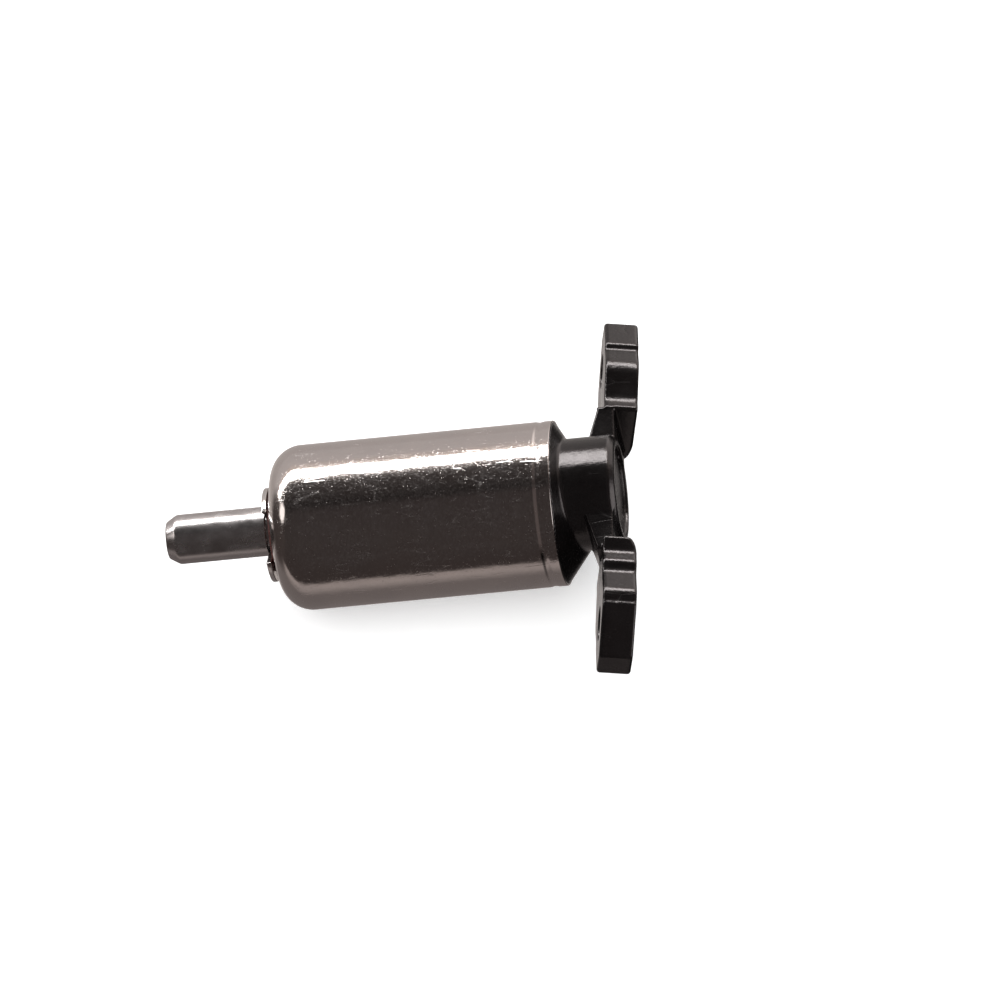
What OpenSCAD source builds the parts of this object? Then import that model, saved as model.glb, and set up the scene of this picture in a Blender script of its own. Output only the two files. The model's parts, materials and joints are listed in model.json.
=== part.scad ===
// Cylindrical vibration motor: a brushed motor with its eccentric weight inside a drawn can,
// a plain output shaft at the front and a moulded two-eared mount at the rear.
// The motor's axis is X, the shaft points to -X, the ears point to -Y and +Y, and +Z is up.
// The origin is the centre of the can, on the shaft's axis. All sizes are in millimetres.

/* [Can] */
// Outside diameter of the can
can_d = 10; // [9.8:0.05:10.2]
// Length of the can from its front face to its rear rim
can_len = 17.35; // [17.2:0.05:18]
// Thickness of the can's sheet
can_wall = 0.35; // [0.3:0.01:0.38]
// Outside radius of the drawn front corner
can_corner_r = 1.9; // [1.2:0.02:2]
// Distance of the rolled crease from the rear rim
crease_from_rim = 0.8; // [0.6:0.05:0.9]
// Depth of the rolled crease
crease_depth = 0.05; // [0.02:0.01:0.08]

/* [Shaft] */
// Diameter of the output end of the shaft
shaft_d = 3; // [2.9:0.02:3.1]
// Length of shaft that stands out of the can's front face
shaft_out = 6.7; // [4:0.1:12]
// Length of the tapered tip
tip_len = 0.65; // [0.2:0.05:1]
// How far the tip tapers inwards on the radius
tip_depth = 0.4; // [0.1:0.05:0.8]
// Diameter of the rear journal and rotor seat
journal_d = 1.5; // [1.4:0.02:1.6]

/* [Retaining clip and washers] */
// Outside diameter of the C-shaped retaining clip
clip_d = 5.7; // [5.2:0.1:6.2]
// Thickness of the clip
clip_t = 0.3; // [0.25:0.01:0.4]
// Width of the clip's mouth at its outer edge
clip_mouth = 3; // [2.2:0.1:3.4]
// Direction of the clip's mouth, from +Y towards +Z
clip_angle = 140; // [0:5:355]
// Thickness of the fibre thrust washers
washer_t = 0.22; // [0.18:0.01:0.25]

/* [Rotor] */
// Diameter of the stack of laminations
core_d = 7.1; // [6.8:0.05:7.2]
// Length of the stack of laminations
core_len = 4.1; // [3.6:0.1:4.2]
// Length of the eccentric weight
weight_len = 2.9; // [1.5:0.1:2.9]
// Radius of the eccentric weight
weight_r = 4.3; // [3.5:0.05:4.4]

/* [Magnets and brushes] */
// Arc covered by each magnet, in degrees
magnet_span = 130; // [100:5:130]
// Radial thickness of each magnet
magnet_t = 0.85; // [0.6:0.05:0.85]
// Diameter of the commutator
commutator_d = 3.7; // [3.4:0.05:3.9]

/* [End mount] */
// Diameter of the mount's neck
neck_d = 6.8; // [6.4:0.1:7.2]
// How far the neck's axis lies above the motor's axis
neck_rise = 0.65; // [0.4:0.05:0.8]
// Distance from the can's rear rim to the neck's rear face
neck_len = 3.75; // [3.6:0.05:4]
// Distance from the can's rear rim to the middle plane of the ears, along the motor's axis
ear_back = 3.4; // [3.2:0.05:3.5]
// Thickness of the ears
ear_t = 2.05; // [1.6:0.05:2.4]
// Angle at which the ears are canted about Y, in degrees
ear_cant = 14; // [8:1:16]
// Distance from the motor's axis to each ear's screw hole
ear_hole_out = 9.9; // [9.6:0.1:10.2]
// Diameter of each ear's screw hole
ear_hole_d = 2; // [1.6:0.1:2.4]

/* [Hidden] */
$fn = 96;
// Radial running clearance between a journal and its bush
run_gap = 0.03;
// Clearance between a strip and the slot that holds it
slot_gap = 0.02;
// Overshoot of a cutting shape past the face it cuts
cut = 0.5;

can_r = can_d / 2;
can_in_r = can_r - can_wall;
shaft_r = shaft_d / 2;
journal_r = journal_d / 2;

// Place of the can's front face, which the stations below are counted from
front_x = -can_len / 2;

// Stations along the motor's axis, from front to rear
clip_x = -washer_t - slot_gap - clip_t;
groove_depth = 0.3;
// The clip hangs a little off the shaft's axis, in Y and Z
clip_off = [-0.19, -0.16];
washer_r = 2.45;
bush_nose_r = 2.1;
bush_flange_r = 2.7;
bush_flange_t = 0.5;
bush_end_x = 2.3;
weight_x = bush_end_x + 0.3;
shoulder_x = weight_x + weight_len + 0.1;
insulator_t = 0.25;
winding_end = 0.35;
insulator_x = shoulder_x + winding_end + 0.25;
core_x = insulator_x + insulator_t;
core_end_x = core_x + core_len;
stack_end_x = core_end_x + insulator_t;
magnet_x = insulator_x - 0.4;
magnet_end_x = stack_end_x + 1.4;
commutator_x = stack_end_x + winding_end + 0.15;
commutator_end_x = 13.9;
rear_bush_x = 14.2;
rear_bush_len = 2;
rear_bush_r = 1.7;
shaft_end_x = 16;
holder_x = 14.4;
plug_x = 16.4;
rear_x = can_len + neck_len;
ear_x = can_len + ear_back;

// Rotor section
poles = 3;
core_hub_r = 1.3;
stem_w = 1;
shoe_t = 0.55;
slot_w = 0.6;
winding_w = 2.2;
winding_bottom_r = core_hub_r + 0.15;
winding_top_r = 2.7;
winding_corner_r = 0.4;

// Brush gear
segment_t = 0.3;
segment_gap_deg = 10;
riser_r = 2.35;
riser_t = 0.3;
brush_w = 1;
brush_x = 12.5;
brush_len = 1.1;
arm_y = 2.3;
arm_t = 0.15;
arm_w = 1.1;
arm_len = 3.05;
terminal_t = 0.25;
terminal_w = 1;
terminal_x = 14.6;
terminal_inset = 0.1;

// End mount
cone_r = 4.9;
cone_tip_r = 2.95;
cone_len = 1.8;
rear_chamfer = 0.35;
recess_r = 2.7;
recess_depth = 0.2;
ear_corner_r = 0.3;
ear_root_y = 5.1;
shoulder_len = 0.7;
shoulder_depth = 0.45;
shoulder_turn = 40;
web_half_h = 2.1;
web_middle_y = 4.1;
web_lean = 14;
sliver = 0.1;

// Plan of the web from the neck to the +Y ear, as distance from the axis and station
web_outline = [
    [1.5, ear_x + 0.1], [ear_root_y + 2 * sliver, ear_x + 0.1], [ear_root_y + 2 * sliver, ear_x - 0.95],
    [ear_root_y, ear_x - 0.95], [3.5, ear_x - 1.45], [2.4, ear_x - 1.8], [1.5, ear_x - 1.8]
];

// Outline of the +Y ear in its own plane, as distance from the axis and height
ear_outline = [
    [ear_root_y, -2.65], [6.1, -2.2], [6.95, -2.5], [7.6, -2.2], [9.5, -2.85], [10.2, -2.6],
    [10.45, -2.6], [12.6, -0.15], [12.4, 1.7], [10.1, 2.45], [9.7, 2.3], [8.2, 2.95], [5.85, 2.1],
    [ear_root_y, 2.35]
];

// Turns a shape drawn in X and Y and raised along Z to lie in Y and Z and run along X,
// from the station x
module lengthwise(x = 0) {
    translate([front_x + x, 0, 0]) rotate([90, 0, 90]) children();
}

// A tube about the motor's axis from x0 to x1
module tube(r_in, r_out, x0, x1) {
    lengthwise(x0) rotate_extrude() translate([r_in, 0]) square([r_out - r_in, x1 - x0]);
}

// A piece of a tube, centred on the direction mid_deg
module arc_piece(r_in, r_out, x0, x1, mid_deg, span_deg) {
    lengthwise(x0) rotate([0, 0, mid_deg - span_deg / 2]) rotate_extrude(angle = span_deg)
        translate([r_in, 0]) square([r_out - r_in, x1 - x0]);
}

// A rectangle with rounded corners, centred on the origin
module rounded_plate(size, r) {
    square([size[0] - 2 * r, size[1]], center = true);
    square([size[0], size[1] - 2 * r], center = true);
    for (sx = [-1, 1], sy = [-1, 1])
        translate([sx * (size[0] / 2 - r), sy * (size[1] / 2 - r)]) circle(r);
}

// Half section of a cup with a rounded floor corner, as radius and length
module cup_section(r, corner_r, length) {
    difference() {
        square([r, length]);
        difference() {
            translate([r - corner_r, -cut]) square([corner_r + cut, corner_r + cut]);
            translate([r - corner_r, corner_r]) circle(corner_r);
        }
    }
}

module can() {
    crease_w = 0.25;
    color("silver") lengthwise() rotate_extrude() difference() {
        cup_section(can_r, can_corner_r, can_len);
        translate([0, can_wall]) cup_section(can_in_r, can_corner_r - can_wall, can_len);
        translate([0, -cut]) square([bush_nose_r, can_wall + 2 * cut]);
        translate([can_r - crease_depth, can_len - crease_from_rim - crease_w / 2])
            square([cut, crease_w]);
    }
}

module front_bush() {
    bore_r = shaft_r + run_gap;
    color("peru") union() {
        tube(bore_r, bush_nose_r, 0, bush_end_x);
        tube(bush_nose_r - sliver, bush_flange_r, can_wall, can_wall + bush_flange_t);
    }
}

module front_washer() {
    color("maroon") tube(shaft_r + sliver, washer_r, -washer_t, 0);
}

module retaining_clip() {
    grip_r = shaft_r - groove_depth;
    mouth_in = 2 * grip_r - 0.4;
    color("gainsboro") lengthwise(clip_x) linear_extrude(clip_t) difference() {
        translate(clip_off) circle(d = clip_d);
        circle(grip_r);
        rotate(clip_angle) polygon([
            [0, -mouth_in / 2], [grip_r, -mouth_in / 2], [clip_d / 2 + cut, -clip_mouth / 2],
            [clip_d / 2 + cut, clip_mouth / 2], [grip_r, mouth_in / 2], [0, mouth_in / 2]
        ]);
    }
}

module shaft() {
    groove_x = clip_x - slot_gap;
    color("lightslategray") lengthwise() rotate_extrude() polygon([
        [0, -shaft_out], [shaft_r - tip_depth, -shaft_out], [shaft_r, tip_len - shaft_out],
        [shaft_r, groove_x], [shaft_r - groove_depth, groove_x],
        [shaft_r - groove_depth, 0], [shaft_r, 0],
        [shaft_r, shoulder_x], [journal_r, shoulder_x], [journal_r, shaft_end_x], [0, shaft_end_x]
    ]);
}

module eccentric_weight() {
    boss_r = shaft_r + 0.6;
    color("dimgray") lengthwise(weight_x) linear_extrude(weight_len) difference() {
        union() {
            circle(boss_r);
            intersection() {
                circle(weight_r);
                translate([-weight_r, -weight_r]) square([2 * weight_r, weight_r]);
            }
        }
        circle(shaft_r);
    }
}

// Section of the slotted rotor: a hub, a stem to each pole and a shoe on each stem
module rotor_section(r) {
    difference() {
        union() {
            circle(core_hub_r);
            for (k = [0:poles - 1]) rotate(90 + 360 * k / poles)
                translate([0, -stem_w / 2]) square([r - shoe_t / 2, stem_w]);
            difference() {
                circle(r);
                circle(r - shoe_t);
                for (k = [0:poles - 1]) rotate(270 + 360 * k / poles)
                    translate([0, -slot_w / 2]) square([r + cut, slot_w]);
            }
        }
        circle(journal_r);
    }
}

module rotor_core() {
    color("gray") lengthwise(core_x) linear_extrude(core_len) rotor_section(core_d / 2);
}

module insulator(x) {
    color("darkgreen") lengthwise(x) linear_extrude(insulator_t) rotor_section(core_d / 2 - 0.05);
}

module winding(k) {
    length = stack_end_x - insulator_x;
    color("chocolate") rotate([360 * k / poles, 0, 0])
        translate([front_x + (insulator_x + stack_end_x) / 2, 0, winding_bottom_r])
        linear_extrude(winding_top_r - winding_bottom_r) difference() {
            rounded_plate([length + 2 * winding_end, winding_w], winding_corner_r);
            square([length, stem_w], center = true);
        }
}

module commutator_hub() {
    flange_t = 0.4;
    color("saddlebrown") union() {
        tube(journal_r, commutator_d / 2 - segment_t, commutator_x, commutator_end_x);
        tube(journal_r, riser_r, commutator_x, commutator_x + flange_t);
    }
}

module commutator_segments() {
    seat_x = commutator_x + 0.4;
    span = 360 / poles - segment_gap_deg;
    riser_span = 30;
    color("orange") for (k = [0:poles - 1]) union() {
        arc_piece(commutator_d / 2 - segment_t, commutator_d / 2, seat_x, commutator_end_x - 0.1,
            270 + 360 * k / poles, span);
        arc_piece(commutator_d / 2 - sliver, riser_r, seat_x, seat_x + riser_t,
            270 + 360 * k / poles, riser_span);
    }
}

module rear_washer() {
    color("maroon") tube(journal_r + sliver, rear_bush_r - sliver,
        rear_bush_x - washer_t - slot_gap, rear_bush_x - slot_gap);
}

module rear_bush() {
    color("peru") tube(journal_r + run_gap, rear_bush_r, rear_bush_x, rear_bush_x + rear_bush_len);
}

module magnet(mid_deg) {
    r_out = can_in_r - 0.05;
    color("black") arc_piece(r_out - magnet_t, r_out, magnet_x, magnet_end_x, mid_deg, magnet_span);
}

// Spring strip that pushes the two magnets apart at the +Y side
module magnet_spring() {
    r_out = can_in_r - 0.1;
    strip_t = 0.2;
    span = 180 - magnet_span - 4;
    leg_deg = 3;
    color("silver") union() {
        arc_piece(r_out - strip_t, r_out, magnet_x, magnet_end_x, 0, span);
        for (side = [-1, 1])
            arc_piece(r_out - magnet_t + 0.1, r_out - sliver, magnet_x, magnet_end_x,
                side * (span - leg_deg) / 2, leg_deg);
    }
}

// Slots on both sides of the axis for the brush arms and the terminals
module strip_slots(y0, y1, w, x0, x1) {
    for (side = [-1, 1])
        translate([front_x + x0, (side > 0 ? y0 : -y1) - slot_gap, -w / 2 - slot_gap])
            cube([x1 - x0, y1 - y0 + 2 * slot_gap, w + 2 * slot_gap]);
}

module brush_holder() {
    lip_x = 13.6;
    color("ivory") difference() {
        union() {
            tube(rear_bush_r, can_in_r - 0.02, holder_x, plug_x);
            tube(can_in_r - 0.8, can_in_r - 0.02, lip_x, holder_x + sliver);
        }
        strip_slots(arm_y - terminal_t, arm_y + arm_t, arm_w, holder_x - cut, plug_x + cut);
    }
}

module brush(side) {
    face_y = commutator_d / 2 + 0.02;
    color("darkslategray") translate([front_x + brush_x, side > 0 ? face_y : -arm_y, -brush_w / 2])
        cube([brush_len, arm_y - face_y, brush_w]);
}

module brush_arm(side) {
    arm_x = front_x + brush_x - 0.15;
    color("gold") translate([arm_x, side > 0 ? arm_y : -arm_y - arm_t, -arm_w / 2])
        cube([arm_len, arm_t, arm_w]);
}

module terminal(side) {
    length = rear_x - recess_depth - terminal_inset - terminal_x;
    inner_y = arm_y - terminal_t;
    color("gold") translate([front_x + terminal_x, side > 0 ? inner_y : -arm_y, -terminal_w / 2])
        cube([length, terminal_t, terminal_w]);
}

// Places a flat shape in the plane of the canted ears, centred on their thickness
module in_ear_plane() {
    translate([front_x + ear_x, 0, 0]) rotate([0, ear_cant, 0]) rotate([90, 0, 90]) children();
}

// One scalloped ear with its screw hole, and a sloped shoulder at its root's lower corner
module ear(turn) {
    in_ear_plane() rotate([0, 0, turn]) difference() {
        linear_extrude(ear_t, center = true)
            offset(r = ear_corner_r) offset(r = -2 * ear_corner_r) offset(r = ear_corner_r)
            polygon(ear_outline);
        translate([ear_hole_out, 0, 0]) cylinder(h = ear_t + 2 * cut, d = ear_hole_d, center = true);
        translate(ear_outline[0]) rotate([0, 0, shoulder_turn]) rotate([90, 0, 0])
            linear_extrude(4 * web_half_h, center = true) polygon([
                [shoulder_len, ear_t / 2], [shoulder_len, ear_t / 2 + cut], [-cut, ear_t / 2 + cut],
                [-cut, ear_t / 2 - shoulder_depth * (1 + cut / shoulder_len)]
            ]);
    }
}

// Web from the neck out to one ear, leaning about its middle
module web(turn) {
    rotate([turn, 0, 0]) translate([front_x, web_middle_y, 0]) rotate([web_lean, 0, 0])
        translate([0, -web_middle_y, -web_half_h]) mirror([1, -1, 0])
        linear_extrude(2 * web_half_h) polygon(web_outline);
}

module end_mount() {
    color("#1c1a1b") difference() {
        union() {
            tube(0, can_in_r - 0.02, plug_x, can_len + sliver);
            lengthwise(can_len) cylinder(h = cone_len, r1 = cone_r, r2 = cone_tip_r);
            translate([0, 0, neck_rise]) {
                lengthwise(can_len) cylinder(h = neck_len - rear_chamfer, d = neck_d);
                lengthwise(rear_x - rear_chamfer)
                    cylinder(h = rear_chamfer, r1 = neck_d / 2, r2 = neck_d / 2 - rear_chamfer);
            }
            for (turn = [0, 180]) {
                ear(turn);
                web(turn);
            }
        }
        translate([0, 0, neck_rise]) lengthwise(rear_x - recess_depth)
            cylinder(h = recess_depth + cut, r = recess_r);
        strip_slots(arm_y - terminal_t, arm_y, terminal_w, plug_x - cut, rear_x);
    }
}

can();
front_bush();
front_washer();
retaining_clip();
shaft();
eccentric_weight();
rotor_core();
insulator(insulator_x);  // front_insulator
insulator(core_end_x);  // rear_insulator
winding(0);  // winding_1
winding(1);  // winding_2
winding(2);  // winding_3
commutator_hub();
commutator_segments();
rear_washer();
rear_bush();
magnet(90);  // magnet_upper
magnet(270);  // magnet_lower
magnet_spring();
brush_holder();
brush(-1);  // brush_left
brush(1);  // brush_right
brush_arm(-1);  // brush_arm_left
brush_arm(1);  // brush_arm_right
terminal(-1);  // terminal_left
terminal(1);  // terminal_right
end_mount();
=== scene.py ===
"""Looks for the cylindrical vibration motor: fine meshes, procedural finishes, studio light and camera.

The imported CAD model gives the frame's places and main sizes. Lengths below are in millimetres in
the row's frame: X along the motor's axis towards the rear mount, Y along the ears, Z up.
"""

import json
import math

import bmesh
import bpy
import numpy as np
from mathutils import Matrix, Vector


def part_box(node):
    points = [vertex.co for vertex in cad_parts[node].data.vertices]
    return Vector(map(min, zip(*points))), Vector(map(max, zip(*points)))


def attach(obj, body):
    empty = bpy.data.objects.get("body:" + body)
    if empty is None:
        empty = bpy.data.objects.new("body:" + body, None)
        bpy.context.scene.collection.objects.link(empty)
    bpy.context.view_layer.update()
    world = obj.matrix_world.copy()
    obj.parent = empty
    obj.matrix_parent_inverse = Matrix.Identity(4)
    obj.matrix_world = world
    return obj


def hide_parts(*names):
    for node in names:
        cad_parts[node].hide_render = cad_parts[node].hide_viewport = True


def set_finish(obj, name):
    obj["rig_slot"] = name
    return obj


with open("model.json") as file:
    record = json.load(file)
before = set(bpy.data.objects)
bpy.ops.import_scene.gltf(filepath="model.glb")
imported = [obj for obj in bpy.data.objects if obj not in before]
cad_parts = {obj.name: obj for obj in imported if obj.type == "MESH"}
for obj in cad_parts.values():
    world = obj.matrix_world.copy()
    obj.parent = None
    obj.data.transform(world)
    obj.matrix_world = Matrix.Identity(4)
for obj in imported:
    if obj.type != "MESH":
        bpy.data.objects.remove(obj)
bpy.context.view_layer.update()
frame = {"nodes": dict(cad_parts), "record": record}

MM = 0.001
HOUSING = "housing"
ROTOR = "rotor"
RECORD = frame["record"]
MOUNTS = {mount["name"]: mount for mount in RECORD["mounts"]}


def box_mm(node):
    low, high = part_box(node)
    return low / MM, high / MM


# ---------------------------------------------------------------- sizes taken from the frame

CAN_LOW, CAN_HIGH = box_mm("can")
FRONT = CAN_LOW.x
RIM = CAN_HIGH.x
CAN_R = CAN_HIGH.y
SHAFT_LOW, SHAFT_HIGH = box_mm("shaft")
SHAFT_R = MOUNTS["output_shaft"]["dims"]["r_mm"]
CLIP_LOW, CLIP_HIGH = box_mm("retaining_clip")
WASHER_LOW, WASHER_HIGH = box_mm("front_washer")
END_LOW, END_HIGH = box_mm("end_mount")
EAR_REAR = Vector(MOUNTS["ear_holes"]["pos_m"]) / MM
EAR_NORMAL = Vector(MOUNTS["ear_holes"]["axis"]).normalized()
EAR_HOLE_R = MOUNTS["ear_holes"]["dims"]["hole_r_mm"]
EAR_HOLE_OUT = MOUNTS["ear_holes"]["dims"]["pcd_mm"] / 2

# ---------------------------------------------------------------- sizes of details

# Can
WALL = 0.35
CORNER_R = 1.9
CREASE_FROM_RIM = 0.8
CREASE_DEPTH = 0.05
CREASE_HALF_W = 0.3
CREASE_STEPS = 12
FRONT_HOLE_R = 2.1
SHEET_EDGE = 0.05
RIM_INNER_EDGE = 0.04

# Shaft
TIP_LEN = 0.65
TIP_DEPTH = 0.4
TIP_EDGE = 0.18
TIP_SHOULDER_EDGE = 0.5
GROOVE_DEPTH = 0.3
GROOVE_GAP = 0.02
GROOVE_EDGE = 0.03
JOURNAL_START = FRONT + 5.6
JOURNAL_R = 0.75
JOURNAL_ROOT_EDGE = 0.05
SHAFT_EDGE = 0.1

# Washer and clip
WASHER_GAP = 0.1
WASHER_EDGE = 0.03
CLIP_MOUTH_DEG = 140
CLIP_MOUTH = 3.0
CLIP_MOUTH_TAPER = 0.2
CLIP_EDGE = 0.07

# The end mount's plug, cone and neck
PLUG_R = CAN_R - WALL - 0.02
PLUG_EDGE = 0.08
PLUG_PAST_ENDS = 0.05
CONE_R = 4.9
CONE_TIP_R = 2.09
CONE_LEN = 1.8
CONE_LEAN = 0.417
CONE_INTO_RIM = 0.03
NECK_R = 3.4
NECK_RISE = 0.65
NECK_START = RIM - 0.5
NECK_END = RIM + 3.75
NECK_CHAMFER = 0.35
NECK_FLAT = 0.03

# The end mount's web and ears
WEB_HALF_H = 2.1
WEB_EDGE = 0.16
WEB_MIDDLE = 4.1
WEB_LEAN = math.tan(math.radians(14))
EAR_T = 2.05
EAR_EDGE = 0.2
SHOULDER_LEN = 0.7
SHOULDER_DEPTH = 0.45
SHOULDER_TURN = math.radians(40)

# The end mount's rear recess, and the slots that the terminals lie in
RECESS_R = 2.7
RECESS_DEPTH = 0.2
RECESS_EDGE = 0.1
SLOT_Y = (2.05, 2.3)
SLOT_HALF_H = 0.5
SLOT_GAP = 0.02

# Widths over which the end mount's shapes are blended into each other
BLEND_CONE_EDGE = 0.04
BLEND_NECK_FLAT = 0.05
BLEND_NECK_REAR = 0.03
BLEND_CHAMFER = 0.1
BLEND_NECK = 0.2
BLEND_WEB = 0.18
BLEND_EAR = 0.12
BLEND_SHOULDER = 0.25
BLEND_HOLE = 0.12
BLEND_RECESS = 0.06
# Grid step of the end mount's surface
SURFACE_STEP = 0.08
# More than the size of any detail on the end mount
FAR_AWAY = 5.0

# Outline of the +Y ear in its own plane, as distance from the motor's axis, height and corner radius
EAR_OUTLINE = [
    (5.1, -2.65, 0.15), (6.1, -2.2, 0.8), (6.95, -2.5, 0.6), (7.6, -2.2, 0.8), (9.5, -2.85, 0.9),
    (10.2, -2.6, 0.4), (10.45, -2.6, 0.3), (12.6, -0.15, 0.4), (12.4, 1.7, 0.4), (10.1, 2.45, 0.4),
    (9.7, 2.3, 0.4), (8.2, 2.95, 1.5), (5.85, 2.1, 1.2), (5.1, 2.35, 0.2),
]

# Plan of the web from the neck to the +Y ear, as distance from the motor's axis and place along it
WEB_REAR = RIM + 3.5
WEB_OUTLINE = [
    (1.2, WEB_REAR), (5.3, WEB_REAR), (5.3, RIM + 2.45), (5.1, RIM + 2.45), (3.5, RIM + 1.95),
    (2.4, RIM + 1.6), (1.2, RIM + 1.6),
]


# ---------------------------------------------------------------- meshes


def make_object(name, vertices, faces, body, slot):
    """A new piece from points in millimetres, riding on a CAD body."""
    mesh = bpy.data.meshes.new(name)
    mesh.from_pydata([tuple(np.asarray(v) * MM) for v in vertices], [], faces)
    mesh.validate()
    mesh.update()
    mesh.shade_smooth()
    piece = bpy.data.objects.new(name, mesh)
    bpy.context.scene.collection.objects.link(piece)
    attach(piece, body)
    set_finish(piece, slot)
    return piece


SHARP_ANGLE = math.radians(35)


def keep_edges(piece):
    """Keeps edges above an angle sharp, and shades flat faces flat."""
    piece.data.set_sharp_from_angle(angle=SHARP_ANGLE)
    weighted = piece.modifiers.new("weighted_normals", "WEIGHTED_NORMAL")
    weighted.keep_sharp = True


def fillet(corners, steps):
    """A polyline whose corners (x, r, radius) are turned into arcs. Radius 0 keeps the corner."""
    points = []
    count = len(corners)
    for i, (x, r, radius) in enumerate(corners):
        here = Vector((x, r))
        if radius == 0:
            points.append(here)
            continue
        to_last = (Vector(corners[(i - 1) % count][:2]) - here).normalized()
        to_next = (Vector(corners[(i + 1) % count][:2]) - here).normalized()
        half = to_last.angle(to_next) / 2
        reach = radius / math.tan(half)
        centre = here + (to_last + to_next).normalized() * (radius / math.sin(half))
        start = here + to_last * reach - centre
        end = here + to_next * reach - centre
        turn = start.angle_signed(end)
        for k in range(steps + 1):
            a = -turn * k / steps
            points.append(centre + Vector((
                start.x * math.cos(a) - start.y * math.sin(a),
                start.x * math.sin(a) + start.y * math.cos(a),
            )))
    return [(p.x, p.y) for p in points]


def lathe(name, profile, body, slot, segments, closed=True):
    """Turns a profile of (x, r) points about the motor's axis. An open one ends on the axis."""
    vertices, rings = [], []
    for x, r in profile:
        if r < 1e-6:
            rings.append([len(vertices)] * segments)
            vertices.append((x, 0, 0))
            continue
        first = len(vertices)
        rings.append(list(range(first, first + segments)))
        for k in range(segments):
            a = 2 * math.pi * k / segments
            vertices.append((x, r * math.cos(a), r * math.sin(a)))
    faces = []
    last = len(rings) if closed else len(rings) - 1
    for i in range(last):
        ring, after = rings[i], rings[(i + 1) % len(rings)]
        for k in range(segments):
            m = (k + 1) % segments
            corners = [ring[k], ring[m], after[m], after[k]]
            faces.append(list(dict.fromkeys(corners)))
    piece = make_object(name, vertices, faces, body, slot)
    clean = bmesh.new()
    clean.from_mesh(piece.data)
    bmesh.ops.recalc_face_normals(clean, faces=clean.faces)
    clean.to_mesh(piece.data)
    clean.free()
    keep_edges(piece)
    return piece


def smooth_min(a, b, k):
    """The smaller of two distances, with the change from one to the other blended over k."""
    h = np.clip(0.5 + 0.5 * (b - a) / k, 0, 1)
    return b * (1 - h) + a * h - k * h * (1 - h)


def smooth_max(a, b, k):
    """The larger of two distances, blended in the same way."""
    return -smooth_min(-a, -b, k)


def slab(across, along, half, edge):
    """Distance to a shape of a given outline and thickness, with its edges rounded."""
    a = across + edge
    b = np.abs(along) - half + edge
    return np.minimum(np.maximum(a, b), 0) + np.hypot(np.maximum(a, 0), np.maximum(b, 0)) - edge


def polygon_distance(px, py, outline):
    """Signed distance from points to a closed polygon, negative inside."""
    best = np.full(px.shape, 1e9)
    inside = np.zeros(px.shape, bool)
    for (ax, ay), (bx, by) in zip(outline, outline[1:] + outline[:1]):
        ex, ey = bx - ax, by - ay
        wx, wy = px - ax, py - ay
        t = np.clip((wx * ex + wy * ey) / (ex * ex + ey * ey), 0, 1)
        best = np.minimum(best, (wx - ex * t) ** 2 + (wy - ey * t) ** 2)
        if ay != by:
            crosses = (ay > py) != (by > py)
            inside ^= crosses & (px < ex * (py - ay) / ey + ax)
    return np.where(inside, -1, 1) * np.sqrt(best)


def surface_net(distance, low, high, step, parts=40):
    """Points and four-sided faces of the surface where distance(p) is zero.

    The grid is measured in parts, to save memory.
    """
    counts = [int(math.ceil((high[i] - low[i]) / step)) + 1 for i in range(3)]
    axes = [low[i] + step * np.arange(counts[i]) for i in range(3)]
    grid = np.stack(np.meshgrid(*axes, indexing="ij"), -1).reshape(-1, 3)
    values = np.concatenate([distance(part) for part in np.array_split(grid, parts)]).reshape(counts)
    inside = values < 0
    corner_sum = sum(
        inside[i:counts[0] - 1 + i, j:counts[1] - 1 + j, k:counts[2] - 1 + k].astype(np.int8)
        for i in (0, 1) for j in (0, 1) for k in (0, 1)
    )
    mixed = (corner_sum > 0) & (corner_sum < 8)
    cells = np.argwhere(mixed)
    index = np.full(mixed.shape, -1, np.int64)
    index[mixed] = np.arange(len(cells))
    points = np.array([axes[i][cells[:, i]] for i in range(3)]).T + step / 2
    points = settle(distance, points, step)
    faces = []
    for axis in range(3):
        first = [slice(None)] * 3
        second = [slice(None)] * 3
        first[axis] = slice(0, -1)
        second[axis] = slice(1, None)
        crossing = inside[tuple(first)] != inside[tuple(second)]
        leaving = inside[tuple(first)]
        others = [i for i in range(3) if i != axis]
        edges = np.argwhere(crossing)
        keep = np.all(
            [(edges[:, i] > 0) & (edges[:, i] < counts[i] - 1) for i in others], axis=0
        )
        edges = edges[keep]
        out = leaving[tuple(edges.T)]
        corners = []
        for da, db in ((-1, -1), (0, -1), (0, 0), (-1, 0)):
            cell = edges.copy()
            cell[:, others[0]] += da
            cell[:, others[1]] += db
            corners.append(index[tuple(cell.T)])
        quads = np.array(corners).T
        flip = out if axis == 1 else ~out
        quads[flip] = quads[flip][:, ::-1]
        faces.append(quads)
    return points, np.concatenate(faces)


def settle(distance, points, reach, rounds=4):
    """Moves points onto the surface where distance(p) is zero."""
    for _ in range(rounds):
        d, slope = slope_at(distance, points)
        # The floor keeps moves short where the distance hardly changes
        steepness = np.maximum((slope ** 2).sum(1), 0.05)
        move = -d[:, None] * slope / steepness[:, None]
        points = points + np.clip(move, -reach, reach)
    return points


def slope_at(distance, points, eps=0.004):
    """The distance at each point, and how it changes along X, Y and Z."""
    d = distance(points)
    slope = np.stack([
        (distance(points + eps * unit) - distance(points - eps * unit)) / (2 * eps)
        for unit in np.eye(3)
    ], -1)
    return d, slope


# ---------------------------------------------------------------- the end mount

ROUND_OUTLINE = fillet(EAR_OUTLINE, steps=5)
EAR_UP = Vector((-EAR_NORMAL.z, 0, EAR_NORMAL.x))
EAR_CENTRE = EAR_REAR - EAR_NORMAL * (EAR_T / 2)


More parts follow.
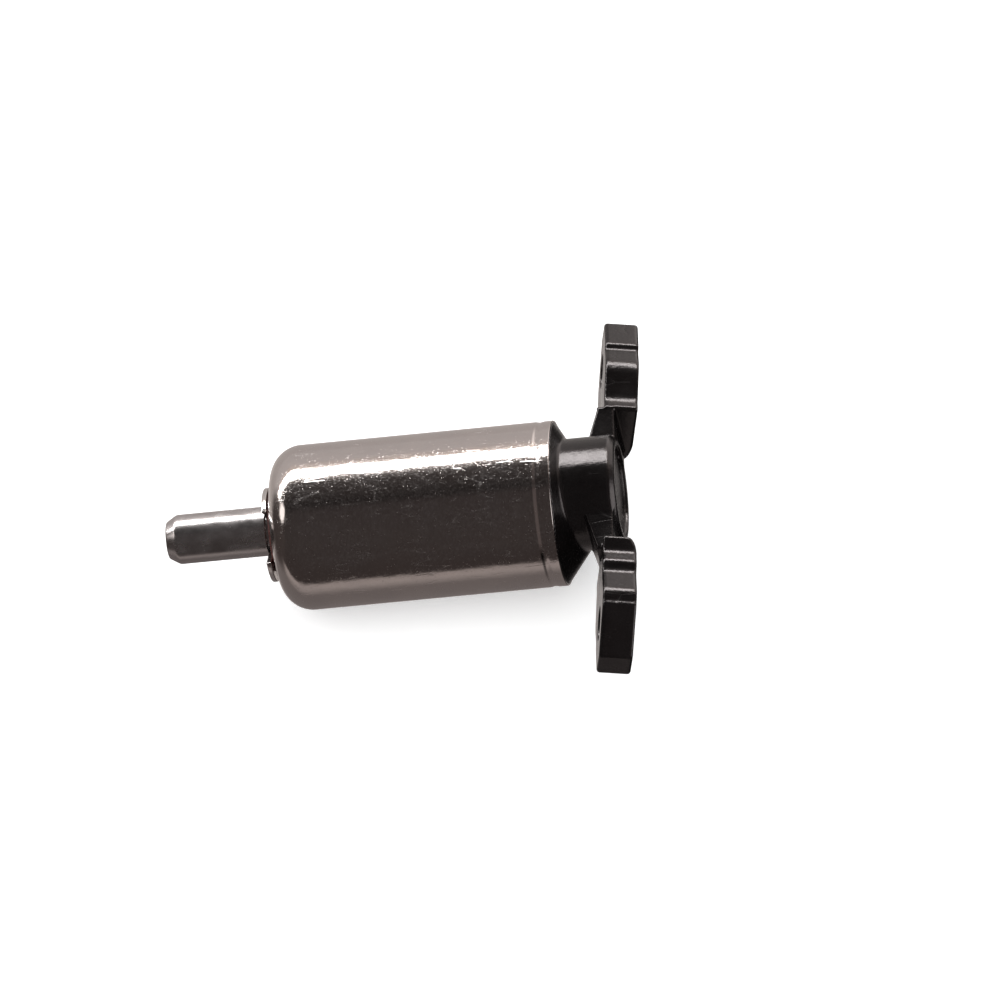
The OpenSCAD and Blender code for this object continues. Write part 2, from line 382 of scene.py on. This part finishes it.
def plug_distance(x, rho):
    """The plug inside the rear end of the can."""
    half = (RIM - END_LOW.x) / 2 + PLUG_PAST_ENDS
    return slab(rho - PLUG_R, x - (END_LOW.x + RIM) / 2, half, PLUG_EDGE)


def cone_distance(x, y, z):
    """The cone behind the rim, whose axis sinks as it goes back."""
    slope = (CONE_R - CONE_TIP_R) / CONE_LEN
    rho = np.hypot(y, z + CONE_LEAN * (x - RIM))
    side = (rho - (CONE_R - slope * (x - RIM))) / math.hypot(1, slope)
    return smooth_max(side, RIM - CONE_INTO_RIM - x, BLEND_CONE_EDGE)


def neck_distance(x, z, rho):
    """The neck, whose axis lies above the motor's, with a slight flat on top and a rear chamfer."""
    side = smooth_max(rho - NECK_R, z - NECK_RISE - NECK_R + NECK_FLAT, BLEND_NECK_FLAT)
    ends = np.maximum(x - NECK_END, NECK_START - x)
    chamfer = (side + x - NECK_END + NECK_CHAMFER) / math.sqrt(2)
    return smooth_max(smooth_max(side, ends, BLEND_NECK_REAR), chamfer, BLEND_CHAMFER)


def ear_distance(out, up, through):
    """An ear, with a slope cut off its rear face at the first corner of its outline."""
    # Only points that are near the ear need its exact distance
    outline = np.full(out.shape, FAR_AWAY)
    near = out > EAR_OUTLINE[0][0] - 1
    outline[near] = polygon_distance(out[near], up[near], ROUND_OUTLINE)
    ear = slab(outline, through, EAR_T / 2, EAR_EDGE)
    corner_out, corner_up = EAR_OUTLINE[0][:2]
    inward = (out - corner_out) * math.cos(SHOULDER_TURN) + (up - corner_up) * math.sin(SHOULDER_TURN)
    rise = through - EAR_T / 2 + SHOULDER_DEPTH * (1 - inward / SHOULDER_LEN)
    shoulder = rise / math.hypot(1, SHOULDER_DEPTH / SHOULDER_LEN)
    return smooth_max(ear, shoulder, BLEND_SHOULDER)


def end_mount_distance(points):
    """Signed distance to the moulded end mount, in millimetres."""
    x, y, z = points[:, 0], points[:, 1], points[:, 2]
    neck_rho = np.hypot(y, z - NECK_RISE)
    body = smooth_min(cone_distance(x, y, z), neck_distance(x, z, neck_rho), BLEND_NECK)
    body = np.minimum(plug_distance(x, np.hypot(y, z)), body)

    # The two ears are half-turn copies, so both are measured from the axis outwards
    side = np.where(y < 0, -1.0, 1.0)
    out = np.abs(y)
    web_height = z * side - WEB_LEAN * (out - WEB_MIDDLE)
    web = slab(polygon_distance(out, x, WEB_OUTLINE), web_height, WEB_HALF_H, WEB_EDGE)
    offset = points - np.array(EAR_CENTRE)
    through = offset @ np.array(EAR_NORMAL)
    up = (offset @ np.array(EAR_UP)) * side
    ear = ear_distance(out, up, through)
    whole = smooth_min(smooth_min(body, web, BLEND_WEB), ear, BLEND_EAR)

    hole = np.hypot(out - EAR_HOLE_OUT, up) - EAR_HOLE_R
    whole = smooth_max(whole, -hole, BLEND_HOLE)
    recess = slab(neck_rho - RECESS_R, x - (NECK_END - RECESS_DEPTH + 1), 1, RECESS_EDGE)
    whole = smooth_max(whole, -recess, BLEND_RECESS)
    slot = np.maximum(
        np.abs(out - sum(SLOT_Y) / 2) - (SLOT_Y[1] - SLOT_Y[0]) / 2 - SLOT_GAP,
        np.abs(z) - SLOT_HALF_H - SLOT_GAP,
    )
    return np.maximum(whole, -slot)


def build_end_mount():
    step = SURFACE_STEP
    margin = 0.3
    low = [END_LOW.x - margin, END_LOW.y - margin, END_LOW.z - margin]
    high = [END_HIGH.x + margin, END_HIGH.y + margin, END_HIGH.z + margin]
    points, faces = surface_net(end_mount_distance, low, high, step)
    piece = make_object("end_mount_moulding", points, faces.tolist(), HOUSING, "black_gloss")
    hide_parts("end_mount")
    return piece


# ---------------------------------------------------------------- turned and stamped pieces


def build_can():
    crease = []
    crease_x = RIM - CREASE_FROM_RIM
    for k in range(CREASE_STEPS + 1):
        t = k / CREASE_STEPS
        depth = CREASE_DEPTH * (0.5 - 0.5 * math.cos(2 * math.pi * t))
        crease.append((crease_x + (t - 0.5) * 2 * CREASE_HALF_W, CAN_R - depth, 0))
    profile = fillet([
        (FRONT, FRONT_HOLE_R, SHEET_EDGE),
        (FRONT, CAN_R, CORNER_R),
        *crease,
        (RIM, CAN_R, SHEET_EDGE),
        (RIM, CAN_R - WALL, RIM_INNER_EDGE),
        (FRONT + WALL, CAN_R - WALL, CORNER_R - WALL),
        (FRONT + WALL, FRONT_HOLE_R, SHEET_EDGE),
    ], steps=16)
    piece = lathe("can_shell", profile, HOUSING, "nickel_plate", segments=384)
    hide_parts("can")
    return piece


def build_shaft():
    tip = SHAFT_LOW.x
    groove_end = FRONT
    groove_start = CLIP_LOW.x - GROOVE_GAP
    floor_r = SHAFT_R - GROOVE_DEPTH
    profile = fillet([
        (tip, 0, 0),
        (tip, SHAFT_R - TIP_DEPTH, TIP_EDGE),
        (tip + TIP_LEN, SHAFT_R, TIP_SHOULDER_EDGE),
        (groove_start, SHAFT_R, GROOVE_EDGE),
        (groove_start, floor_r, GROOVE_EDGE),
        (groove_end, floor_r, GROOVE_EDGE),
        (groove_end, SHAFT_R, GROOVE_EDGE),
        (JOURNAL_START, SHAFT_R, SHAFT_EDGE),
        (JOURNAL_START, JOURNAL_R, JOURNAL_ROOT_EDGE),
        (SHAFT_HIGH.x, JOURNAL_R, SHAFT_EDGE),
        (SHAFT_HIGH.x, 0, 0),
    ], steps=10)
    piece = lathe("shaft_ground", profile, ROTOR, "ground_steel", segments=192, closed=False)
    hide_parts("shaft")
    return piece


def build_washer():
    inner = SHAFT_R + WASHER_GAP
    outer = WASHER_HIGH.y
    corners = [
        (WASHER_LOW.x, inner), (WASHER_LOW.x, outer), (WASHER_HIGH.x, outer), (WASHER_HIGH.x, inner),
    ]
    profile = fillet([(x, r, WASHER_EDGE) for x, r in corners], steps=4)
    piece = lathe("front_washer_fibre", profile, HOUSING, "red_fibre", segments=128)
    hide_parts("front_washer")
    return piece


def build_clip():
    """The C-shaped clip: an outline with rounded ends, stamped through and softened at its edges."""
    turn = math.radians(CLIP_MOUTH_DEG)
    middle = (CLIP_LOW + CLIP_HIGH) / 2
    off = Vector((middle.y, middle.z)) @ Matrix.Rotation(turn, 2)
    outer = (CLIP_HIGH.y - CLIP_LOW.y) / 2
    grip = SHAFT_R - GROOVE_DEPTH
    inner_half = math.asin((grip - CLIP_MOUTH_TAPER) / grip)
    mouth_end = math.asin((CLIP_MOUTH / 2 - off.y) / outer)
    mouth_start = math.asin((-CLIP_MOUTH / 2 - off.y) / outer) + 2 * math.pi
    outline = []
    inner_steps, outer_steps = 96, 144
    for k in range(inner_steps + 1):
        a = inner_half + (2 * math.pi - 2 * inner_half) * k / inner_steps
        outline.append((grip * math.cos(a), grip * math.sin(a)))
    for k in range(outer_steps + 1):
        a = mouth_start + (mouth_end - mouth_start) * k / outer_steps
        outline.append((off.x + outer * math.cos(a), off.y + outer * math.sin(a)))
    outline = [
        (a * math.cos(turn) - b * math.sin(turn), a * math.sin(turn) + b * math.cos(turn))
        for a, b in outline
    ]
    count = len(outline)
    vertices = [(CLIP_LOW.x, a, b) for a, b in outline] + [(CLIP_HIGH.x, a, b) for a, b in outline]
    faces = [[k, (k + 1) % count, count + (k + 1) % count, count + k] for k in range(count)]
    faces += [list(range(count)), list(range(2 * count - 1, count - 1, -1))]
    piece = make_object("retaining_clip_stamped", vertices, faces, ROTOR, "spring_steel")
    clean = bmesh.new()
    clean.from_mesh(piece.data)
    bmesh.ops.recalc_face_normals(clean, faces=clean.faces)
    sharp = math.radians(69)
    rims = [e for e in clean.edges if e.calc_face_angle(0) > sharp]
    bmesh.ops.bevel(clean, geom=rims, offset=CLIP_EDGE * MM, segments=4, profile=0.5, affect="EDGES")
    clean.to_mesh(piece.data)
    clean.free()
    piece.data.shade_smooth()
    keep_edges(piece)
    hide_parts("retaining_clip")
    return piece


# ---------------------------------------------------------------- materials


class Nodes:
    """A node tree being built. add() makes a node, and a socket given as an input is linked."""

    def __init__(self, tree):
        self.tree = tree
        self.tree.nodes.clear()

    def add(self, kind, inputs=None, **settings):
        node = self.tree.nodes.new("ShaderNode" + kind)
        for key, value in settings.items():
            setattr(node, key, value)
        for key, value in (inputs or {}).items():
            if isinstance(value, bpy.types.NodeSocket):
                self.tree.links.new(value, node.inputs[key])
            else:
                node.inputs[key].default_value = value
        return node

    def fit(self, value, low, high, to_low=0.0, to_high=1.0):
        inputs = {0: value, 1: low, 2: high, 3: to_low, 4: to_high}
        return self.add("MapRange", inputs, clamp=True).outputs[0]

    def ease(self, value, low, high):
        """0 up to low and 1 from high on, with a smooth step between them."""
        inputs = {0: value, 1: low, 2: high}
        return self.add("MapRange", inputs, interpolation_type="SMOOTHSTEP").outputs[0]

    def mix(self, factor, first, second, **settings):
        node = self.add("Mix", {0: factor}, data_type="RGBA", **settings)
        for socket, value in ((node.inputs[6], first), (node.inputs[7], second)):
            if isinstance(value, bpy.types.NodeSocket):
                self.tree.links.new(value, socket)
            else:
                socket.default_value = (*value, 1)
        return node.outputs[2]

    def math(self, operation, first, second=0.0):
        return self.add("Math", {0: first, 1: second}, operation=operation).outputs[0]


class Shader(Nodes):
    """A procedural material, placed by the object's own coordinates."""

    def __init__(self, name):
        self.material = bpy.data.materials.new(name)
        self.material.use_nodes = True
        super().__init__(self.material.node_tree)
        self.place = self.add("TexCoord").outputs["Object"]

    def scaled(self, x, y=None, z=None):
        """Object coordinates in millimetres, times a number of repeats per millimetre."""
        y = x if y is None else y
        z = x if z is None else z
        factors = (x / MM, y / MM, z / MM)
        return self.add("VectorMath", {0: self.place, 1: factors}, operation="MULTIPLY").outputs[0]

    def noise(self, scale, detail=3.0, rough=0.5, warp=0.0):
        vector = self.scaled(*scale) if isinstance(scale, tuple) else self.scaled(scale)
        inputs = {"Vector": vector, "Scale": 1.0, "Detail": detail, "Roughness": rough}
        return self.add("TexNoise", {**inputs, "Distortion": warp}).outputs[0]

    def bump(self, height, distance_mm, strength=1.0, below=None):
        inputs = {"Height": height, "Distance": distance_mm * MM, "Strength": strength}
        if below is not None:
            inputs["Normal"] = below
        return self.add("Bump", inputs).outputs[0]

    def finish(self, **inputs):
        surface = self.add("BsdfPrincipled", {k.replace("_", " "): v for k, v in inputs.items()})
        self.add("OutputMaterial", {"Surface": surface.outputs[0]})
        return self.material


def scratches(shader, scale, width, turn):
    """Thin straight marks lying in a few directions, 1 on a mark and 0 off it."""
    inputs = {"Vector": shader.scaled(scale), "Angle": turn}
    rotated = shader.add("VectorRotate", inputs, rotation_type="X_AXIS")
    inputs = {0: rotated.outputs[0], 1: (0.22, 1.0, 1.0)}
    stretched = shader.add("VectorMath", inputs, operation="MULTIPLY").outputs[0]
    warped = shader.add("TexNoise", {"Vector": stretched, "Scale": 0.6, "Detail": 1.0})
    moved = shader.add("VectorMath", {0: stretched, 1: warped.outputs[1]}, operation="ADD")
    inputs = {"Vector": moved.outputs[0], "Scale": 1.0}
    cells = shader.add("TexVoronoi", inputs, feature="DISTANCE_TO_EDGE").outputs[0]
    line = shader.fit(cells, 0.0, width, 1.0, 0.0)
    patchy = shader.fit(shader.noise(scale * 0.7, 2.0), 0.52, 0.62)
    return shader.math("MULTIPLY", line, patchy)


# Degrees from the -Y horizon up over the can where the worn strip starts, is strongest and ends
SCUFF_ANGLES = (58, 70, 84)


def nickel_plate():
    s = Shader("nickel_plate")
    clouds = s.noise(0.35, 4.0, 0.6)
    grain = s.noise((0.8, 3.0, 3.0), 4.0, 0.65)
    marks = scratches(s, 1.1, 0.035, 0.5)
    pits = s.fit(s.noise(7.0, 2.0, 0.7), 0.67, 0.75)
    tint = s.mix(s.fit(clouds, 0.35, 0.7), (0.66, 0.615, 0.59), (0.60, 0.56, 0.545))
    tint = s.mix(s.math("MULTIPLY", pits, 0.5), tint, (0.32, 0.27, 0.24))
    rough = s.fit(clouds, 0.3, 0.75, 0.07, 0.13)
    rough = s.math("ADD", rough, s.math("MULTIPLY", marks, 0.12))
    rough = s.math("ADD", rough, s.math("MULTIPLY", pits, 0.2))
    specks = s.fit(s.noise(8.0, 3.0, 0.75), 0.5, 0.75)
    rough = s.math("ADD", rough, s.math("MULTIPLY", specks, 0.2))
    normal = s.bump(grain, 0.0035)
    normal = s.bump(s.noise(10.0, 3.0, 0.7), 0.0012, below=normal)
    normal = s.bump(s.noise(0.9, 2.0, 0.5), 0.014, below=normal)
    normal = s.bump(marks, -0.003, below=normal)
    normal = s.bump(pits, -0.004, below=normal)
    worn = s.fit(s.noise((1.6, 5.5, 5.5), 4.0, 0.7), 0.56, 0.68)
    scuffs = s.math("MULTIPLY", scuff_band(s), worn)
    rough = s.math("ADD", rough, s.math("MULTIPLY", scuffs, 0.14))
    normal = s.bump(scuffs, -0.0025, below=normal)
    return s.finish(Base_Color=tint, Metallic=1.0, Roughness=rough, Normal=normal)


def scuff_band(shader):
    """1 on a strip along the can that faces -Y and up, where handling has worn the plate."""
    parts = shader.add("SeparateXYZ", {0: shader.place})
    ahead = shader.math("MULTIPLY", parts.outputs[1], -1.0)
    angle = shader.math("ARCTAN2", parts.outputs[2], ahead)
    low, middle, high = (math.radians(degrees) for degrees in SCUFF_ANGLES)
    rise = shader.fit(angle, low, middle)
    fall = shader.fit(angle, middle, high, 1.0, 0.0)
    return shader.math("MULTIPLY", rise, fall)


def ground_steel():
    s = Shader("ground_steel")
    lines = s.noise((14.0, 0.6, 0.6), 2.0, 0.6)
    broad = s.noise((0.9, 1.1, 1.1), 3.0, 0.6)
    specks = s.fit(s.noise(8.0, 2.0, 0.7), 0.62, 0.74)
    tint = s.mix(s.fit(broad, 0.3, 0.7), (0.50, 0.475, 0.47), (0.58, 0.555, 0.55))
    tint = s.mix(s.math("MULTIPLY", specks, 0.45), tint, (0.22, 0.19, 0.18))
    rough = s.fit(broad, 0.3, 0.7, 0.2, 0.3)
    normal = s.bump(lines, 0.0006)
    normal = s.bump(s.noise(7.0, 3.0, 0.6), 0.0028, below=normal)
    return s.finish(Base_Color=tint, Metallic=1.0, Roughness=rough, Normal=normal)


def spring_steel():
    s = Shader("spring_steel")
    grain = s.noise((2.0, 8.0, 8.0), 4.0, 0.6)
    tint = s.mix(s.fit(grain, 0.3, 0.7), (0.72, 0.70, 0.68), (0.6, 0.57, 0.56))
    return s.finish(Base_Color=tint, Metallic=1.0, Roughness=s.fit(grain, 0.3, 0.7, 0.1, 0.22),
                    Normal=s.bump(grain, 0.004))


def red_fibre():
    s = Shader("red_fibre")
    fibres = s.noise((3.0, 9.0, 2.0), 5.0, 0.7, 0.6)
    tint = s.mix(s.fit(fibres, 0.3, 0.7), (0.035, 0.008, 0.006), (0.12, 0.028, 0.02))
    return s.finish(Base_Color=tint, Roughness=s.fit(fibres, 0.3, 0.7, 0.55, 0.8),
                    Normal=s.bump(fibres, 0.01))


def black_gloss():
    s = Shader("black_gloss")
    clouds = s.noise(0.5, 4.0, 0.6)
    texture = s.noise(11.0, 3.0, 0.65)
    dust = s.fit(s.noise(6.0, 2.0, 0.75), 0.69, 0.8)
    marks = scratches(s, 0.8, 0.03, 1.1)
    tint = s.mix(s.fit(clouds, 0.3, 0.7), (0.0022, 0.0018, 0.0019), (0.0042, 0.0035, 0.0036))
    tint = s.mix(s.math("MULTIPLY", dust, 0.2), tint, (0.08, 0.07, 0.07))
    rough = s.fit(clouds, 0.3, 0.7, 0.16, 0.26)
    rough = s.math("ADD", rough, s.math("MULTIPLY", marks, 0.1))
    normal = s.bump(texture, 0.005)
    normal = s.bump(s.noise(4.5, 3.0, 0.6), 0.01, below=normal)
    normal = s.bump(s.noise(1.6, 3.0), 0.012, below=normal)
    normal = s.bump(marks, -0.004, below=normal)
    return s.finish(Base_Color=tint, Roughness=rough, IOR=1.5, Specular_Tint=(1, 0.93, 0.92, 1),
                    Normal=normal)


def sintered(name, dark, light, metallic=1.0):
    s = Shader(name)
    grains = s.noise(14.0, 4.0, 0.7)
    pores = s.fit(s.noise(9.0, 2.0, 0.7), 0.6, 0.7)
    tint = s.mix(s.fit(grains, 0.3, 0.7), dark, light)
    tint = s.mix(s.math("MULTIPLY", pores, 0.7), tint, tuple(0.3 * c for c in dark))
    normal = s.bump(pores, -0.01, below=s.bump(grains, 0.006))
    return s.finish(Base_Color=tint, Metallic=metallic, Roughness=s.fit(grains, 0.3, 0.7, 0.38, 0.58),
                    Normal=normal)


def layered(name, axis_scale, dark, light, metallic, rough):
    """A finish with fine lines: laminations, wire turns or rolled strip."""
    s = Shader(name)
    lines = s.noise(axis_scale, 3.0, 0.6)
    cloud = s.noise(1.2, 3.0)
    tint = s.mix(s.fit(lines, 0.35, 0.65), dark, light)
    normal = s.bump(lines, 0.012, below=s.bump(cloud, 0.006))
    return s.finish(Base_Color=tint, Metallic=metallic, Normal=normal,
                    Roughness=s.fit(cloud, 0.3, 0.7, rough - 0.08, rough + 0.1))


def dress(pieces):
    """Gives each slot's finish to the new pieces and to the CAD nodes that stay."""
    finishes = {
        "nickel_plate": nickel_plate(),
        "ground_steel": ground_steel(),
        "spring_steel": spring_steel(),
        "red_fibre": red_fibre(),
        "black_gloss": black_gloss(),
        "sintered_bronze": sintered("sintered_bronze", (0.33, 0.2, 0.1), (0.55, 0.37, 0.2)),
        "tungsten": sintered("tungsten", (0.2, 0.2, 0.21), (0.34, 0.34, 0.35)),
        "ferrite": sintered("ferrite", (0.03, 0.03, 0.032), (0.075, 0.073, 0.075), 0.0),
        "carbon": sintered("carbon", (0.018, 0.018, 0.018), (0.06, 0.06, 0.06), 0.0),
        "phenolic": sintered("phenolic", (0.1, 0.04, 0.015), (0.2, 0.09, 0.04), 0.0),
        "white_nylon": sintered("white_nylon", (0.62, 0.6, 0.52), (0.76, 0.74, 0.67), 0.0),
        "lamination_steel": layered(
            "lamination_steel", (20.0, 0.3, 0.3), (0.16, 0.16, 0.17), (0.42, 0.42, 0.44), 1.0, 0.38),
        "enamelled_wire": layered(
            "enamelled_wire", (0.6, 9.0, 9.0), (0.25, 0.07, 0.02), (0.72, 0.3, 0.12), 1.0, 0.28),
        "copper": layered(
            "copper", (18.0, 0.5, 0.5), (0.55, 0.24, 0.12), (0.8, 0.44, 0.27), 1.0, 0.26),
        "contact_brass": layered(
            "contact_brass", (0.5, 12.0, 12.0), (0.55, 0.38, 0.14), (0.78, 0.6, 0.28), 1.0, 0.3),
        "green_insulation": layered(
            "green_insulation", (4.0, 4.0, 4.0), (0.02, 0.09, 0.045), (0.05, 0.17, 0.09), 0.0, 0.6),
    }
    for piece in pieces:
        piece.data.materials.clear()
        piece.data.materials.append(finishes[piece["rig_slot"]])
    for entry in RECORD["subparts"]:
        node = frame["nodes"][entry["node"]]
        node.data.materials.clear()
        node.data.materials.append(finishes[entry["material_slot"]])


# ---------------------------------------------------------------- stage, light and camera

AZIMUTH = math.radians(11.5)
ELEVATION = math.radians(49)
ROLL = math.radians(14.2)
FRAME_WIDTH = 60.2
# Where the can's rear rim lies in the frame
RIM_RIGHT_OF_CENTRE = 3.7
RIM_BELOW_CENTRE = 0.18
LENS = 600
SENSOR = 36


def build_camera():
    """The camera looks down on the motor from the -Y side, a little behind it, and is rolled."""
    right = Vector((math.cos(AZIMUTH), math.sin(AZIMUTH), 0))
    back = Vector((
        math.sin(AZIMUTH) * math.cos(ELEVATION),
        -math.cos(AZIMUTH) * math.cos(ELEVATION),
        math.sin(ELEVATION),
    ))
    up = back.cross(right)
    rolled_right = right * math.cos(ROLL) - up * math.sin(ROLL)
    rolled_up = right * math.sin(ROLL) + up * math.cos(ROLL)
    target = Vector((RIM, 0, 0)) - rolled_right * RIM_RIGHT_OF_CENTRE + rolled_up * RIM_BELOW_CENTRE
    distance = FRAME_WIDTH * LENS / SENSOR
    data = bpy.data.cameras.new("camera")
    data.lens = LENS
    data.sensor_width = SENSOR
    data.clip_start = 0.01
    data.clip_end = 10
    camera = bpy.data.objects.new("camera", data)
    bpy.context.scene.collection.objects.link(camera)
    turn = Matrix((rolled_right, rolled_up, back)).transposed().to_4x4()
    camera.matrix_world = Matrix.Translation((target + back * distance) * MM) @ turn
    bpy.context.scene.camera = camera


# Light the floor gives of its own, which keeps the shadows pale
FLOOR_GLOW = 0.4


def build_floor():
    """A pale floor under the can, large enough to fill every view."""
    half = 1500
    low = CAN_LOW.z
    mesh = bpy.data.meshes.new("floor")
    corners = [(-half, -half), (half, -half), (half, half), (-half, half)]
    mesh.from_pydata([(x * MM, y * MM, low * MM) for x, y in corners], [], [(0, 1, 2, 3)])
    floor = bpy.data.objects.new("floor", mesh)
    bpy.context.scene.collection.objects.link(floor)
    floor.visible_glossy = False
    s = Shader("floor")
    tint = s.mix(s.noise(0.02, 3.0), (0.93, 0.93, 0.93), (0.96, 0.96, 0.96))
    mesh.materials.append(s.finish(
        Base_Color=tint, Roughness=0.8, Emission_Color=(1, 1, 1, 1), Emission_Strength=FLOOR_GLOW,
    ))


# The strip softbox: its angle from the -Y horizon up over the motor, and its place and size
STRIP_ANGLE = math.radians(130)
STRIP_DISTANCE = 300
STRIP_WIDTH = 69
STRIP_LENGTH = 710
STRIP_SHIFT = -145
STRIP_RADIANCE = 15

# What shiny surfaces see of the room, by degrees from the -Y horizon up over the motor
ROOM = [
    (-180, (0.50, 0.455, 0.44)),
    (-152, (0.47, 0.43, 0.41)),
    (-134, (0.64, 0.59, 0.565)),
    (-127, (0.60, 0.55, 0.53)),
    (-117, (0.20, 0.175, 0.17)),
    (-62, (0.19, 0.165, 0.16)),
    (-46, (0.40, 0.35, 0.335)),
    (-39, (0.38, 0.33, 0.315)),
    (-35, (0.050, 0.040, 0.038)),
    (20, (0.045, 0.036, 0.034)),
    (70, (0.040, 0.032, 0.031)),
    (80, (0.016, 0.013, 0.0125)),
    (92, (0.028, 0.023, 0.022)),
    (114, (0.045, 0.037, 0.035)),
    (142, (0.60, 0.50, 0.44)),
    (152, (0.56, 0.515, 0.50)),
    (180, (0.54, 0.50, 0.485)),
]
# Directions are unit vectors, so these are slopes: where the +X side starts to differ, where its
# lower part does, and where the dark ends of the room start
ROOM_REAR = (0.0, 0.25)
ROOM_REAR_LOW = (-0.1, -0.4)
ROOM_END = (0.8, 0.95)
ROOM_REAR_GAIN = 2.5
ROOM_REAR_LOW_GAIN = 0.06
ROOM_END_COLOUR = (0.06, 0.048, 0.045)
# Bright windows that glint on the front corners and on the neck's chamfer, each as the direction
# it lies in, its colour, and its inner and outer radius in degrees
ROOM_WINDOWS = [
    ((-0.861, -0.03, 0.51), (1.7, 1.6, 1.55), (9, 12)),
    ((0.96, -0.18, -0.05), (2.6, 2.5, 2.5), (17, 23)),
]
# What everything else sees of the room
ROOM_FILL = (1.3, 1.3, 1.3)


def build_strip():
    """A long strip softbox above and beyond the motor, which draws the bright lines along it."""
    data = bpy.data.lights.new("strip", "AREA")
    data.shape = "RECTANGLE"
    data.size = STRIP_LENGTH * MM
    data.size_y = STRIP_WIDTH * MM
    data.energy = STRIP_RADIANCE * math.pi * data.size * data.size_y
    strip = bpy.data.objects.new("strip", data)
    bpy.context.scene.collection.objects.link(strip)
    strip.visible_diffuse = False
    toward = Vector((0, -math.cos(STRIP_ANGLE), math.sin(STRIP_ANGLE)))
    place = toward * STRIP_DISTANCE + Vector((STRIP_SHIFT, 0, 0))
    turn = toward.to_track_quat("Z", "Y").to_matrix().to_4x4()
    strip.matrix_world = Matrix.Translation(place * MM) @ turn


def build_room():
    """A room that is dark in front and grey behind for shiny surfaces, and pale for the rest."""
    world = bpy.data.worlds.new("room")
    bpy.context.scene.world = world
    world.use_nodes = True
    room = Nodes(world.node_tree)
    toward = room.add("TexCoord").outputs["Generated"]
    x, y, z = room.add("SeparateXYZ", {0: toward}).outputs
    angle = room.math("ARCTAN2", z, room.math("MULTIPLY", y, -1.0))
    ramp = room.add("ValToRGB", {0: room.fit(angle, -math.pi, math.pi)})
    stops = ramp.color_ramp.elements
    stops[0].position, stops[0].color = 0, (*ROOM[0][1], 1)
    stops[1].position, stops[1].color = 1, (*ROOM[-1][1], 1)
    for degrees, colour in ROOM[1:-1]:
        stops.new((degrees + 180) / 360).color = (*colour, 1)

    rear_gain = room.fit(z, *ROOM_REAR_LOW, ROOM_REAR_GAIN, ROOM_REAR_LOW_GAIN)
    gain = room.fit(room.ease(x, *ROOM_REAR), 0.0, 1.0, 1.0, rear_gain)
    seen = room.mix(1.0, ramp.outputs[0], gain, blend_type="MULTIPLY")
    near, far = ROOM_END
    ends = room.math("ADD", room.ease(x, near, far), room.ease(x, -near, -far))
    seen = room.mix(ends, seen, ROOM_END_COLOUR)
    for window, colour, (inner, outer) in ROOM_WINDOWS:
        inputs = {0: toward, 1: Vector(window).normalized()}
        facing = room.add("VectorMath", inputs, operation="DOT_PRODUCT").outputs["Value"]
        share = room.ease(facing, math.cos(math.radians(outer)), math.cos(math.radians(inner)))
        seen = room.mix(share, seen, colour)
    glossy = room.add("LightPath").outputs["Is Glossy Ray"]
    background = room.add("Background", {0: room.mix(glossy, ROOM_FILL, seen)})
    room.add("OutputWorld", {0: background.outputs[0]})


pieces = [build_can(), build_shaft(), build_washer(), build_clip(), build_end_mount()]
dress(pieces)
build_floor()
build_strip()
build_room()
build_camera()
bpy.context.scene.view_settings.view_transform = "Standard"
